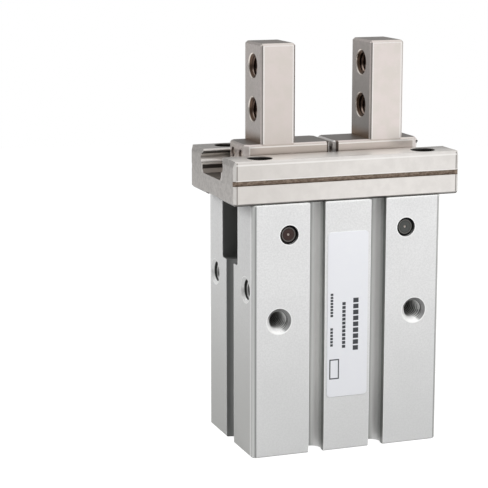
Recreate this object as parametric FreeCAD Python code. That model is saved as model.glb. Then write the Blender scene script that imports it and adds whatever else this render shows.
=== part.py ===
import FreeCAD, Part
import math
import os

# Parallel gripper, double acting, 20 mm bore class.
# Millimetres. Z points up, along the cylinder and the fingers. X is the opening direction.
# The origin is the centre of the body's bottom face. The label is on the front, towards -Y.
# The fingers are modelled closed, which is also where every joint stands at zero.

# Body: a block cut from a grooved extrusion
body_width = 42.0
body_depth = 27.6
body_height = 53.1
body_corner_radius = 1.1
edge_break = 0.25

# Round switch grooves, two on the front and two on the back
switch_groove_x = 6.8
switch_groove_mouth = 3.4
switch_groove_radius = 1.95
switch_groove_depth = 4.35

# Shallow round groove down the middle of each narrow side
side_groove_radius = 2.38
side_groove_depth = 2.75

# Slot that the levers stand in, open at the top and at both narrow sides
lever_slot_cheek = 8.97
lever_slot_corner = 0.8

# M5 threads that carry the gripper, drawn at their core size with a chamfered mouth
thread_core_radius = 2.1
thread_mouth_radius = 2.7
drill_point_degrees = 118.0
front_thread_inset = 5.85
front_thread_z = 28.8
side_thread_inset = 4.3
side_thread_z = 35.0
side_thread_depth = 8.0
base_thread_inset = 6.0
base_thread_depth = 10.0

# Air ports on the far narrow side, with a small passage from each into the cylinder
port_inset = 7.5
port_depth = 7.5
passage_radius = 0.6
passage_offset = 1.4
passage_from_end = 0.75

# Cylinder, open at the bottom and closed by a cap behind a retaining ring
bore_wall = 3.8
locating_bore_step = 0.5
locating_bore_depth = 1.5
ring_land = 0.7
ring_groove_width = 1.1
ring_groove_step = 0.8
ring_thickness = 1.0
ring_width = 1.1
ring_eye_radius = 1.45
ring_eye_hole_radius = 0.65
ring_gap_angle = 40.0
ring_clearance = 0.08
cap_thickness = 6.0
cap_rim = 3.5
cap_recess_depth = 1.2
gasket_radius = 0.8
gasket_groove_clearance = 0.1
end_bumper_inset = 4.5
end_bumper_thickness = 1.8
end_bumper_stand = 0.8

# Piston with its rod, turned in one piece
bore_roof = 6.1
piston_clearance = 0.1
piston_start_gap = 0.1
piston_end_gap = 0.3
seal_groove_share = 0.173
seal_height_share = 0.145
seal_thickness = 2.2
seal_lip_drop = 0.35
magnet_groove_share = 0.18
magnet_height_share = 0.223
magnet_thickness = 2.4
magnet_inset = 0.4
piston_bumper_share = 0.72
piston_bumper_thickness = 1.2
piston_bumper_stand = 0.8
rod_share = 0.4
rod_clearance = 0.1
rod_stud_radius = 2.0
rod_stud_length = 2.4
rod_seal_wall = 2.5
rod_seal_height = 2.2
rod_seal_gap = 0.1
seal_retainer_thickness = 0.8

# Levers: two arms at a right angle that swing equally far to both sides of square
finger_stroke = 5.0
half_swing_degrees = 11.5
pivot_share = 0.31
pivot_below_top = 6.4
shaft_radius = 2.0
shaft_recess = 0.5
shaft_end_chamfer = 0.3
shaft_dimple_radius = 0.4
lever_hub_share = 0.276
lever_side_clearance = 0.23
lever_nose_share = 0.154
inner_arm_share = 0.73
inner_arm_root_share = 0.23
inner_arm_neck_share = 0.17
upper_arm_root = 3.4
upper_arm_neck = 2.8
upper_arm_side_step = 1.6
upper_arm_step = 4.4
lever_web = 6.0
nose_clearance = 0.05

# Slotted joint on the rod's end
joint_length_share = 0.5
joint_web_share = 0.2
joint_lower_lip = 3.0
joint_floor_gap = 0.65
joint_upper_lip = 2.0
joint_edge_break = 0.3

# Guide rail, a channel along X
rail_overhang = 4.0
rail_wall = 7.8
rail_height = 9.1
rail_floor = 4.2
rail_low_break = 0.5
rail_lead_in = 0.4
rail_lead_in_height = 1.2
rail_corner_break = 0.55
rail_inner_round = 0.6
rail_floor_chamfer = 0.8
rail_underside_relief_half = 3.7
rail_underside_relief = 0.5
rail_side_slot_height = 1.0
rail_side_slot_depth = 0.7
rail_side_slot_up = 4.1
lever_opening_clearance = 0.3

# Rail screws and locating pins
screw_inset_x = 2.85
screw_inset_y = 3.5
screw_shank_radius = 1.5
screw_hole_clearance = 0.1
screw_head_radius = 2.5
screw_head_height = 2.8
screw_head_clearance = 0.1
screw_socket_width = 2.5
screw_socket_sides = 6
screw_socket_depth = 1.5
screw_sink = 1.0
screw_reach = 7.0
screw_hole_spare = 0.8
pin_radius = 1.25
pin_inset_x = 1.4
pin_inset_y = 4.2
pin_reach = 3.4
pin_hole_spare = 0.2

# Fingers: a foot in the rail and an upright
foot_half_gap = 0.36
foot_end_inset = 1.54
foot_top_above_rail = 2.0
foot_floor_gap = 0.3
foot_end_break = 0.9
foot_top_break = 0.3
upright_inner_wall = 0.12
upright_thickness = 7.6
upright_height = 20.6
upright_break = 0.45
finger_thread_from_top = 4.85
finger_thread_pitch = 9.0
finger_thread_rows = 2
pocket_roof_clearance = 0.3
pocket_side_clearance = 0.2

# Balls between foot and rail. The foot's grooves are closed at both ends, which keeps the balls in
rail_gap = 1.0
ball_radius = 1.25
ball_pitch = 2.52
ball_groove_clearance = 0.05
ball_line_out = 0.8
ball_line_up = 7.15
ball_groove_end = 1.8

# Short pins in the foot's end faces
foot_pin_radius = 1.0
foot_pin_length = 1.5
foot_pin_recess = 0.3
foot_pin_clearance = 0.05
foot_pin_share = 0.23
foot_pin_up = 8.85

# Label on the front face
label_side_gap = 0.6
label_bottom = 11.6
label_below_top = 6.5
label_thickness = 0.08
label_corner_radius = 0.8

# Common clearance of pieces that only fill a hole
snug = 0.02

# Two places closer than this count as the same place
same_place = 1e-6

# Places worked out from the sizes above
half_swing = math.radians(half_swing_degrees)
lever_slot_width = body_depth - 2 * lever_slot_cheek
front_thread_x = body_width / 2 - front_thread_inset
side_thread_y = body_depth / 2 - side_thread_inset
base_thread_x = body_width / 2 - base_thread_inset
port_y = body_depth / 2 - port_inset
label_height = body_height - label_below_top - label_bottom
label_width = 2 * (switch_groove_x - switch_groove_mouth / 2 - label_side_gap)

pivot_x = pivot_share * body_width
pivot_z = body_height - pivot_below_top
lever_hub_radius = lever_hub_share * pivot_x
lever_nose_radius = lever_nose_share * pivot_x
inner_arm_length = inner_arm_share * pivot_x
inner_arm_root = inner_arm_root_share * pivot_x
inner_arm_neck = inner_arm_neck_share * pivot_x
joint_half_length = joint_length_share * pivot_x
joint_web = joint_web_share * pivot_x
upper_arm_length = finger_stroke / (2 * math.sin(half_swing))
piston_stroke = 2 * inner_arm_length * math.sin(half_swing)
lever_width = lever_slot_width - 2 * lever_side_clearance
upper_arm_width = lever_width - 2 * upper_arm_side_step
nose_slot_half = lever_nose_radius + nose_clearance

joint_slot_z = pivot_z - inner_arm_length * math.sin(half_swing)
joint_bottom_z = joint_slot_z - nose_slot_half - joint_lower_lip
joint_top_z = joint_slot_z + nose_slot_half + joint_upper_lip
slot_floor_z = joint_bottom_z - joint_floor_gap

bore_radius = body_depth / 2 - bore_wall
rod_radius = rod_share * bore_radius
locating_bore_radius = bore_radius + locating_bore_step
ring_groove_radius = bore_radius + ring_groove_step
ring_inner_radius = bore_radius - ring_width
cap_recess_radius = bore_radius - cap_rim
end_bumper_radius = bore_radius - end_bumper_inset
piston_bumper_radius = piston_bumper_share * bore_radius
rod_seal_radius = rod_radius + rod_seal_wall
ring_groove_z = locating_bore_depth + ring_land
cap_bottom_z = ring_groove_z + ring_groove_width
cap_top_z = cap_bottom_z + cap_thickness
piston_bottom_z = cap_top_z + end_bumper_stand + piston_start_gap
bore_top_z = slot_floor_z - bore_roof
piston_top_z = bore_top_z - piston_end_gap - piston_stroke - piston_bumper_stand
piston_length = piston_top_z - piston_bottom_z
seal_height = seal_height_share * piston_length
seal_z = piston_top_z - seal_groove_share * piston_length - seal_height
magnet_z = piston_bottom_z + magnet_groove_share * piston_length
magnet_height = magnet_height_share * piston_length

rail_length = body_width + 2 * rail_overhang
rail_depth = body_depth
rail_bottom_z = body_height
rail_top_z = rail_bottom_z + rail_height
rail_floor_z = rail_bottom_z + rail_floor
channel_half = rail_depth / 2 - rail_wall
finger_depth = 2 * (channel_half - rail_gap)
ball_y = finger_depth / 2 + ball_line_out
ball_z = rail_bottom_z + ball_line_up
foot_pin_y = foot_pin_share * finger_depth
foot_pin_z = rail_bottom_z + foot_pin_up

screw_x = body_width / 2 - screw_inset_x
screw_y = rail_depth / 2 - screw_inset_y
pin_x = pivot_x - pin_inset_x
pin_y = rail_depth / 2 - pin_inset_y
screw_seat_z = rail_top_z - screw_sink - screw_head_height

foot_bottom_z = rail_floor_z + foot_floor_gap
foot_top_z = rail_top_z + foot_top_above_rail
foot_outer_x = body_width / 2 - foot_end_inset
foot_length = foot_outer_x - foot_half_gap
finger_top_z = foot_top_z + upright_height
pocket_x = pivot_x - finger_stroke / 2
upright_inner_x = pocket_x - nose_slot_half - upright_inner_wall
ball_room = foot_length - 2 * ball_groove_end - finger_stroke / 2
balls_in_row = math.floor(ball_room / ball_pitch)
pocket_roof_z = pivot_z + upper_arm_length + lever_nose_radius + pocket_roof_clearance

X_AXIS = FreeCAD.Vector(1, 0, 0)
Y_AXIS = FreeCAD.Vector(0, 1, 0)
Z_AXIS = FreeCAD.Vector(0, 0, 1)

# Left or front, then right or back
SIDES = (-1, 1)


def point(x, y, z):
    return FreeCAD.Vector(x, y, z)


def block(x0, x1, y0, y1, z0, z1):
    corner = point(min(x0, x1), min(y0, y1), min(z0, z1))
    return Part.makeBox(abs(x1 - x0), abs(y1 - y0), abs(z1 - z0), corner)


def cylinder_x(radius, x0, x1, y, z):
    return Part.makeCylinder(radius, abs(x1 - x0), point(min(x0, x1), y, z), X_AXIS)


def cylinder_y(radius, y0, y1, x, z):
    return Part.makeCylinder(radius, abs(y1 - y0), point(x, min(y0, y1), z), Y_AXIS)


def cylinder_z(radius, z0, z1, x=0.0, y=0.0):
    return Part.makeCylinder(radius, abs(z1 - z0), point(x, y, min(z0, z1)), Z_AXIS)


def tube_z(outer_radius, inner_radius, z0, z1):
    return cylinder_z(outer_radius, z0, z1).cut(cylinder_z(inner_radius, z0, z1))


def prism(points, direction):
    """Solid with a straight-sided outline, drawn through the points and pushed along direction."""
    outline = Part.makePolygon(points + [points[0]])
    return Part.Face(outline).extrude(direction)


def revolved(profile):
    """Solid of revolution about Z, from (radius, z) pairs."""
    points = [point(radius, 0, z) for radius, z in profile]
    outline = Part.makePolygon(points + [points[0]])
    return Part.Face(outline).revolve(point(0, 0, 0), Z_AXIS, 360)


def joined(shapes):
    whole = shapes[0]
    for shape in shapes[1:]:
        whole = whole.fuse(shape)
    return whole.removeSplitter()


def without(shape, tools):
    for tool in tools:
        shape = shape.cut(tool)
    return shape


def edges_along(shape, direction, keep):
    """Straight edges parallel to direction whose middle point passes the keep test."""
    chosen = []
    for edge in shape.Edges:
        if len(edge.Vertexes) != 2 or not isinstance(edge.Curve, Part.Line):
            continue
        along = edge.Vertexes[1].Point - edge.Vertexes[0].Point
        if abs(abs(along.normalize().dot(direction)) - 1) > same_place:
            continue
        if keep(edge.CenterOfMass):
            chosen.append(edge)
    return chosen


def mirrored_left(shape):
    """The same piece on the other side of the middle plane x = 0."""
    return shape.mirror(point(0, 0, 0), X_AXIS)


def threaded_hole(mouth, direction, depth, tip=True):
    """Core of a threaded hole with a chamfered mouth, and a drill tip where it is blind."""
    mouth_depth = thread_mouth_radius - thread_core_radius
    hole = Part.makeCylinder(thread_core_radius, depth, mouth, direction)
    mouth_cone = Part.makeCone(thread_mouth_radius, thread_core_radius, mouth_depth, mouth, direction)
    hole = hole.fuse(mouth_cone)
    if tip:
        bottom = mouth + direction * depth
        tip_depth = thread_core_radius / math.tan(math.radians(drill_point_degrees / 2))
        hole = hole.fuse(Part.makeCone(thread_core_radius, 0, tip_depth, bottom, direction))
    return hole


# Body


def lever_slot():
    """Through slot for the levers, with rounded bottom corners."""
    slot = block(-body_width, body_width, -lever_slot_width / 2, lever_slot_width / 2,
                 slot_floor_z, 2 * body_height)
    corners = edges_along(slot, X_AXIS, lambda middle: abs(middle.z - slot_floor_z) < same_place)
    return slot.makeFillet(lever_slot_corner, corners)


def switch_groove(x, side):
    """Round groove behind a narrower mouth, on the front (side -1) or the back (side 1)."""
    face_y = side * body_depth / 2
    centre_y = side * (body_depth / 2 - switch_groove_depth + switch_groove_radius)
    half_mouth = switch_groove_mouth / 2
    mouth = block(x - half_mouth, x + half_mouth, face_y, centre_y, 0, body_height)
    return mouth.fuse(cylinder_z(switch_groove_radius, 0, body_height, x, centre_y))


def side_groove(side):
    face_x = side * body_width / 2
    centre_x = side * (body_width / 2 - side_groove_depth + side_groove_radius)
    groove = cylinder_z(side_groove_radius, 0, slot_floor_z, centre_x, 0)
    return groove.fuse(block(face_x, centre_x, -side_groove_radius, side_groove_radius, 0, slot_floor_z))


def air_port(y, passage_z, lean):
    """Port on the far narrow side. lean is 1 where the port stands above its passage."""
    mouth = point(body_width / 2, y, passage_z + lean * passage_offset)
    port = threaded_hole(mouth, -X_AXIS, port_depth)
    passage = cylinder_x(passage_radius, 0, body_width / 2 - port_depth + passage_radius, y, passage_z)
    return port.fuse(passage)


def cylinder_hollow():
    """Locating recess, ring groove, cylinder bore, rod seal seat and rod hole."""
    seat_top = bore_top_z + seal_retainer_thickness + rod_seal_height + 2 * rod_seal_gap
    return joined([
        cylinder_z(locating_bore_radius, 0, locating_bore_depth),
        cylinder_z(ring_groove_radius, ring_groove_z, cap_bottom_z),
        cylinder_z(bore_radius, 0, bore_top_z),
        cylinder_z(rod_seal_radius, bore_top_z, seat_top),
        cylinder_z(rod_radius + rod_clearance, bore_top_z, body_height),
    ])


def make_body():
    block_shape = block(-body_width / 2, body_width / 2, -body_depth / 2, body_depth / 2, 0, body_height)
    upright_edges = edges_along(block_shape, Z_AXIS, lambda middle: True)
    body = block_shape.makeFillet(body_corner_radius, upright_edges)
    half_height = body_height / 2
    rims = [edge for edge in body.Edges if abs(edge.CenterOfMass.z - half_height) > half_height - same_place]
    body = body.makeChamfer(edge_break, rims)

    tools = [lever_slot(), cylinder_hollow()]
    for side in SIDES:
        tools += [switch_groove(-switch_groove_x, side), switch_groove(switch_groove_x, side)]
        tools += [side_groove(side)]
        front = point(side * front_thread_x, -body_depth / 2, front_thread_z)
        back = point(side * front_thread_x, body_depth / 2, front_thread_z)
        tools += [threaded_hole(front, Y_AXIS, body_depth / 2, tip=False)]
        tools += [threaded_hole(back, -Y_AXIS, body_depth / 2, tip=False)]
        tools += [threaded_hole(point(side * base_thread_x, 0, 0), Z_AXIS, base_thread_depth)]
        side_mouth = point(-body_width / 2, side * side_thread_y, side_thread_z)
        tools += [threaded_hole(side_mouth, X_AXIS, side_thread_depth)]
        tools += [cylinder_y(shaft_radius + snug, -body_depth, body_depth, side * pivot_x, pivot_z)]
        pin_bottom = body_height - pin_reach - pin_hole_spare
        tools += [cylinder_z(pin_radius + snug, pin_bottom, body_height, side * pin_x, side * pin_y)]
        screw_bottom = body_height - screw_reach - screw_hole_spare
        for front_back in SIDES:
            tools += [cylinder_z(screw_shank_radius + snug, screw_bottom, body_height,
                                 side * screw_x, front_back * screw_y)]
    tools += [air_port(-port_y, cap_top_z + passage_from_end, 1)]
    tools += [air_port(port_y, bore_top_z - passage_from_end, 1)]
    return without(body, tools)


# Pieces of the cylinder's lower end


def make_retaining_ring():
    """Open ring with two eyes for the pliers, seated against the cap."""
    top_z = cap_bottom_z - ring_clearance / 2
    bottom_z = top_z - ring_thickness
    ring = tube_z(ring_groove_radius - ring_clearance, ring_inner_radius, bottom_z, top_z)
    half_gap = math.radians(ring_gap_angle / 2)
    far = 2 * ring_groove_radius
    far_x = far * math.cos(half_gap)
    far_y = far * math.sin(half_gap)
    wedge = [point(0, 0, bottom_z), point(far_x, -far_y, bottom_z), point(far_x, far_y, bottom_z)]
    ring = ring.cut(prism(wedge, Z_AXIS * ring_thickness))
    eye_line = bore_radius - ring_eye_radius
    for turn in SIDES:
        angle = turn * (half_gap + ring_eye_radius / eye_line)
        x = eye_line * math.cos(angle)
        y = eye_line * math.sin(angle)
        ring = ring.fuse(cylinder_z(ring_eye_radius, bottom_z, top_z, x, y))
        ring = ring.cut(cylinder_z(ring_eye_hole_radius, bottom_z, top_z, x, y))
    return ring.removeSplitter()


def make_end_cap():
    radius = bore_radius - piston_clearance / 2
    seat_radius = end_bumper_radius + snug
    seat_depth = end_bumper_thickness - end_bumper_stand
    groove_half = gasket_radius + gasket_groove_clearance
    groove_floor = bore_radius - 2 * gasket_radius - gasket_groove_clearance
    groove_z = (cap_bottom_z + cap_top_z) / 2
    recess_z = cap_bottom_z + cap_recess_depth
    return revolved([
        (0, recess_z), (cap_recess_radius, recess_z),
        (cap_recess_radius, cap_bottom_z), (radius - edge_break, cap_bottom_z),
        (radius, cap_bottom_z + edge_break), (radius, groove_z - groove_half),
        (groove_floor, groove_z - groove_half),
        (groove_floor, groove_z + groove_half), (radius, groove_z + groove_half),
        (radius, cap_top_z - edge_break), (radius - edge_break, cap_top_z), (seat_radius, cap_top_z),
        (seat_radius, cap_top_z - seat_depth), (0, cap_top_z - seat_depth),
    ])


def make_cap_gasket():
    ring_line = bore_radius - snug - gasket_radius
    return Part.makeTorus(ring_line, gasket_radius, point(0, 0, (cap_bottom_z + cap_top_z) / 2), Z_AXIS)


def make_end_bumper():
    bottom_z = cap_top_z + end_bumper_stand - end_bumper_thickness
    top_z = cap_top_z + end_bumper_stand
    bumper = cylinder_z(end_bumper_radius, bottom_z, top_z)
    rim = [edge for edge in bumper.Edges if abs(edge.CenterOfMass.z - top_z) < same_place]
    return bumper.makeChamfer(edge_break, rim)


# Piston and what rides on it


def make_piston():
    """Piston and rod, with grooves for the seal and the magnet and a stud for the slotted joint."""
    radius = bore_radius - piston_clearance
    rim = 2 * edge_break
    magnet_top = magnet_z + magnet_height
    magnet_floor = radius - magnet_inset - magnet_thickness - snug
    seal_top = seal_z + seal_height
    seal_floor = bore_radius - seal_thickness - snug
    bumper_radius = piston_bumper_radius + snug
    bumper_seat_z = piston_top_z + piston_bumper_stand - piston_bumper_thickness
    stud_top_z = joint_bottom_z + rod_stud_length
    return revolved([
        (0, piston_bottom_z), (radius - rim, piston_bottom_z), (radius, piston_bottom_z + rim),
        (radius, magnet_z), (magnet_floor, magnet_z), (magnet_floor, magnet_top), (radius, magnet_top),
        (radius, seal_z), (seal_floor, seal_z), (seal_floor, seal_top), (radius, seal_top),
        (radius, piston_top_z - rim), (radius - rim, piston_top_z),
        (bumper_radius, piston_top_z), (bumper_radius, bumper_seat_z),
        (rod_radius, bumper_seat_z), (rod_radius, joint_bottom_z),
        (rod_stud_radius, joint_bottom_z), (rod_stud_radius, stud_top_z), (0, stud_top_z),
    ])


def make_piston_seal():
    """Seal ring with a lip at each edge and a hollow between them."""
    outer = bore_radius - snug
    inner = bore_radius - seal_thickness
    low_z = seal_z + snug
    high_z = low_z + seal_height - 2 * snug
    middle_z = (low_z + high_z) / 2
    return revolved([
        (inner, low_z), (outer - seal_lip_drop, low_z), (outer, low_z + seal_lip_drop),
        (outer - seal_lip_drop, middle_z), (outer, high_z - seal_lip_drop), (outer - seal_lip_drop, high_z),
        (inner, high_z),
    ])


def make_magnet_ring():
    outer = bore_radius - piston_clearance - magnet_inset
    low_z = magnet_z + snug
    return tube_z(outer, outer - magnet_thickness, low_z, low_z + magnet_height - 2 * snug)


def make_piston_bumper():
    bottom_z = piston_top_z + piston_bumper_stand - piston_bumper_thickness
    return tube_z(piston_bumper_radius, rod_radius + snug, bottom_z, piston_top_z + piston_bumper_stand)


def make_rod_seal():
    """Lip seal round the rod, open downwards to the pressure."""
    low_z = bore_top_z + seal_retainer_thickness + rod_seal_gap
    high_z = low_z + rod_seal_height
    inner = rod_radius + snug
    outer = rod_seal_radius - snug
    web_z = low_z + rod_seal_height / 2
    middle = (inner + outer) / 2
    return revolved([
        (inner, low_z), (middle - seal_lip_drop, low_z), (middle, web_z), (middle + seal_lip_drop, low_z),
        (outer, low_z), (outer, high_z), (inner, high_z),
    ])


def make_seal_retainer():
    return tube_z(rod_seal_radius - snug, rod_radius + 2 * rod_clearance, bore_top_z,
                  bore_top_z + seal_retainer_thickness)


def make_rod_joint():
    """Head with one slot on each side, in which the lever noses stand."""
    half_width = lever_width / 2
    head = block(-joint_half_length, joint_half_length, -half_width, half_width, joint_bottom_z, joint_top_z)
    head = head.makeChamfer(joint_edge_break, edges_along(head, Y_AXIS, lambda middle: True))
    tools = [cylinder_z(rod_stud_radius + snug, joint_bottom_z, joint_bottom_z + rod_stud_length + snug)]
    for side in SIDES:
        slot = block(side * joint_web / 2, side * 2 * joint_half_length, -body_depth, body_depth,
                     joint_slot_z - nose_slot_half, joint_slot_z + nose_slot_half)
        tools.append(slot)
    return without(head, tools)


# Levers and shafts


def arm(length, root, neck, direction, across):
    """Tapered arm from the pivot to its round nose, in the lever's own plane."""
    root_half = across * (root / 2)
    neck_half = across * (neck / 2)
    end = direction * length
    back = Y_AXIS * (-lever_width / 2)
    outline = [back - root_half, back + root_half, back + end + neck_half, back + end - neck_half]
    return prism(outline, Y_AXIS * lever_width)


def make_lever_right():
    """Bell crank about the right shaft: one arm towards the rod, one arm up into the finger."""
    half_width = lever_width / 2
    inward = -X_AXIS
    parts = [
        cylinder_y(lever_hub_radius, -half_width, half_width, 0, 0),
        arm(inner_arm_length, inner_arm_root, inner_arm_neck, inward, Z_AXIS),
        arm(upper_arm_length, upper_arm_root, upper_arm_neck, Z_AXIS, X_AXIS),
        cylinder_y(lever_nose_radius, -half_width, half_width, -inner_arm_length, 0),
        cylinder_y(lever_nose_radius, -half_width, half_width, 0, upper_arm_length),
        prism([point(0, -half_width, 0), point(0, -half_width, lever_web),
               point(-lever_web, -half_width, 0)], Y_AXIS * lever_width),
    ]
    lever = joined(parts)
    lever = lever.cut(cylinder_y(shaft_radius + nose_clearance, -half_width, half_width, 0, 0))
    reach = 2 * upper_arm_length
    for side in SIDES:
        lever = lever.cut(block(-reach, reach, side * upper_arm_width / 2, side * lever_width,
                                upper_arm_step, reach))
    lever.rotate(point(0, 0, 0), Y_AXIS, -half_swing_degrees)
    lever.translate(point(pivot_x, 0, pivot_z))
    return lever


def make_shaft(side):
    half_length = body_depth / 2 - shaft_recess
    shaft = cylinder_y(shaft_radius, -half_length, half_length, side * pivot_x, pivot_z)
    rims = [edge for edge in shaft.Edges if abs(abs(edge.CenterOfMass.y) - half_length) < same_place]
    shaft = shaft.makeChamfer(shaft_end_chamfer, rims)
    for end in SIDES:
        mouth = point(side * pivot_x, end * half_length, pivot_z)
        dimple = Part.makeCone(shaft_dimple_radius, 0, shaft_dimple_radius, mouth, Y_AXIS * -end)
        shaft = shaft.cut(dimple)
    return shaft


# Guide rail


def rail_section():
    """The channel's section, pushed along the rail."""
    outer = rail_depth / 2
    relief_z = rail_bottom_z + rail_underside_relief
    slot_low = rail_bottom_z + rail_side_slot_up
    slot_high = slot_low + rail_side_slot_height
    slot_y = outer - rail_side_slot_depth
    half = [
        (0, relief_z), (rail_underside_relief_half, relief_z), (rail_underside_relief_half, rail_bottom_z),
        (outer - rail_low_break, rail_bottom_z), (outer, rail_bottom_z + rail_low_break),
        (outer, slot_low), (slot_y, slot_low), (slot_y, slot_high), (outer, slot_high),
        (outer, rail_top_z - edge_break), (outer - edge_break, rail_top_z), (channel_half, rail_top_z),
        (channel_half, rail_floor_z + rail_floor_chamfer), (channel_half - rail_floor_chamfer, rail_floor_z),
    ]
    right = [point(-rail_length / 2, y, z) for y, z in half]
    left = [point(-rail_length / 2, -y, z) for y, z in reversed(half[1:])]
    return prism(right + left, X_AXIS * rail_length)


def rail_side_view():
    """Outline seen from the front: broken lower corners and a long lead-in chamfer above."""
    half = rail_length / 2
    low = rail_bottom_z
    high = rail_top_z
    outline = [
        (rail_low_break - half, low), (half - rail_low_break, low), (half, low + rail_low_break),
        (half, high - rail_lead_in_height), (half - rail_lead_in, high), (rail_lead_in - half, high),
        (-half, high - rail_lead_in_height), (-half, low + rail_low_break),
    ]
    return prism([point(x, -rail_depth, z) for x, z in outline], Y_AXIS * (2 * rail_depth))


def rail_plan():
    """Outline seen from above: a rectangle with broken corners."""
    outline = block(-rail_length / 2, rail_length / 2, -rail_depth / 2, rail_depth / 2,
                    rail_bottom_z, rail_top_z)
    return outline.makeChamfer(rail_corner_break, edges_along(outline, Z_AXIS, lambda middle: True))


def lever_opening(side):
    """Opening in the rail floor, as wide as the upper arm sweeps."""
    sweep = (rail_floor_z - pivot_z) * math.tan(half_swing) + upper_arm_root / 2 / math.cos(half_swing)
    half_x = sweep + lever_opening_clearance
    half_y = upper_arm_width / 2 + lever_opening_clearance
    centre = side * pivot_x
    return block(centre - half_x, centre + half_x, -half_y, half_y, rail_bottom_z, rail_floor_z)


def make_guide_rail():
    rail = rail_section()
    inner_tops = edges_along(rail, X_AXIS, lambda middle: abs(abs(middle.y) - channel_half) < same_place
                             and abs(middle.z - rail_top_z) < same_place)
    rail = rail.makeFillet(rail_inner_round, inner_tops)
    rail = rail.common(rail_side_view()).common(rail_plan())
    groove_radius = ball_radius + ball_groove_clearance
    tools = []
    for side in SIDES:
        tools.append(cylinder_x(groove_radius, -rail_length, rail_length, side * ball_y, ball_z))
        tools.append(lever_opening(side))
        tools.append(cylinder_z(pin_radius + snug, rail_bottom_z, rail_bottom_z + pin_reach + pin_hole_spare,
                                side * pin_x, side * pin_y))
        for front_back in SIDES:
            y = front_back * screw_y
            tools.append(cylinder_z(screw_shank_radius + screw_hole_clearance, rail_bottom_z, rail_top_z,
                                    side * screw_x, y))
            tools.append(cylinder_z(screw_head_radius + screw_head_clearance, screw_seat_z, rail_top_z,
                                    side * screw_x, y))
    return without(rail, tools)


def make_rail_screw(x, y):
    """Socket head screw, head down to its seat in the rail."""
    head_top = screw_seat_z + screw_head_height
    head = cylinder_z(screw_head_radius, screw_seat_z, head_top, x, y)
    rim = [edge for edge in head.Edges if abs(edge.CenterOfMass.z - head_top) < same_place]
    head = head.makeChamfer(edge_break, rim)
    shank = cylinder_z(screw_shank_radius, body_height - screw_reach, screw_seat_z, x, y)
    corner_radius = screw_socket_width / 2 / math.cos(math.pi / screw_socket_sides)
    corners = []
    for turn in range(screw_socket_sides):
        angle = 2 * math.pi * turn / screw_socket_sides
        corner_x = x + corner_radius * math.cos(angle)
        corner_y = y + corner_radius * math.sin(angle)
        corners.append(point(corner_x, corner_y, head_top))
    socket = prism(corners, Z_AXIS * -screw_socket_depth)
    return head.fuse(shank).removeSplitter().cut(socket)


def make_locating_pin(side):
    pin = cylinder_z(pin_radius, body_height - pin_reach, body_height + pin_reach, side * pin_x, side * pin_y)
    rims = [edge for edge in pin.Edges if isinstance(edge.Curve, Part.Circle)]
    return pin.makeChamfer(edge_break, rims)


# Fingers, balls and foot pins


def make_finger_right():
    """Foot and upright in one piece, with ball grooves, the lever pocket and two attachment threads."""
    half_depth = finger_depth / 2
    foot = block(foot_half_gap, foot_outer_x, -half_depth, half_depth, foot_bottom_z, foot_top_z)
    foot = foot.makeChamfer(foot_end_break, edges_along(foot, Z_AXIS, lambda middle: True))
    foot_rim = [edge for edge in foot.Edges if abs(edge.CenterOfMass.z - foot_top_z) < same_place]
    foot = foot.makeChamfer(foot_top_break, foot_rim)

    upright_outer_x = upright_inner_x + upright_thickness
    upright = block(upright_inner_x, upright_outer_x, -half_depth, half_depth, foot_bottom_z, finger_top_z)
    upright = upright.makeChamfer(upright_break, edges_along(upright, Z_AXIS, lambda middle: True))
    rim = [edge for edge in upright.Edges if abs(edge.CenterOfMass.z - finger_top_z) < same_place]
    upright = upright.makeChamfer(upright_break, rim)
    finger = joined([foot, upright])

    pocket_half = nose_slot_half
    pocket_depth_half = upper_arm_width / 2 + pocket_side_clearance
    tools = [block(pocket_x - pocket_half, pocket_x + pocket_half, -pocket_depth_half, pocket_depth_half,
                   foot_bottom_z, pocket_roof_z)]
    for row in range(finger_thread_rows):
        z = finger_top_z - finger_thread_from_top - row * finger_thread_pitch
        middle = upright_thickness / 2
        tools.append(threaded_hole(point(upright_inner_x, 0, z), X_AXIS, middle, tip=False))
        tools.append(threaded_hole(point(upright_outer_x, 0, z), -X_AXIS, middle, tip=False))
    groove_start = foot_half_gap + ball_groove_end
    groove_end = foot_outer_x - ball_groove_end
    for side in SIDES:
        tools.append(cylinder_x(ball_radius + ball_groove_clearance, groove_start, groove_end,
                                side * ball_y, ball_z))
        for start, end in foot_pin_holes():
            tools.append(cylinder_x(foot_pin_radius + foot_pin_clearance, start, end,
                                    side * foot_pin_y, foot_pin_z))
    return without(finger, tools)


def foot_pin_holes():
    """Start and end of the pin holes in the foot's inner and outer end face."""
    depth = foot_pin_recess + foot_pin_length
    return [(foot_half_gap, foot_half_gap + depth), (foot_outer_x - depth, foot_outer_x)]


def make_foot_pins_right():
    """Four short pins, two in each end face of the foot."""
    inner, outer = foot_pin_holes()
    pins = []
    for side in SIDES:
        y = side * foot_pin_y
        pins.append(cylinder_x(foot_pin_radius, inner[0] + foot_pin_recess, inner[1], y, foot_pin_z))
        pins.append(cylinder_x(foot_pin_radius, outer[0], outer[1] - foot_pin_recess, y, foot_pin_z))
    return Part.makeCompound(pins)


def make_ball_row_right(front_back):
    """One row of balls. It follows the finger at half its travel, so it stands a quarter stroke ahead."""
    foot_middle = (foot_half_gap + foot_outer_x) / 2
    first = foot_middle + finger_stroke / 4 - ball_pitch * (balls_in_row - 1) / 2
    balls = []
    for index in range(balls_in_row):
        centre = point(first + index * ball_pitch, front_back * ball_y, ball_z)
        balls.append(Part.makeSphere(ball_radius, centre))
    return Part.makeCompound(balls)


# Label


def make_label():
    face_y = -body_depth / 2
    sticker = block(-label_width / 2, label_width / 2, face_y - label_thickness, face_y,
                    label_bottom, label_bottom + label_height)
    return sticker.makeFillet(label_corner_radius, edges_along(sticker, Y_AXIS, lambda middle: True))


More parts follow.
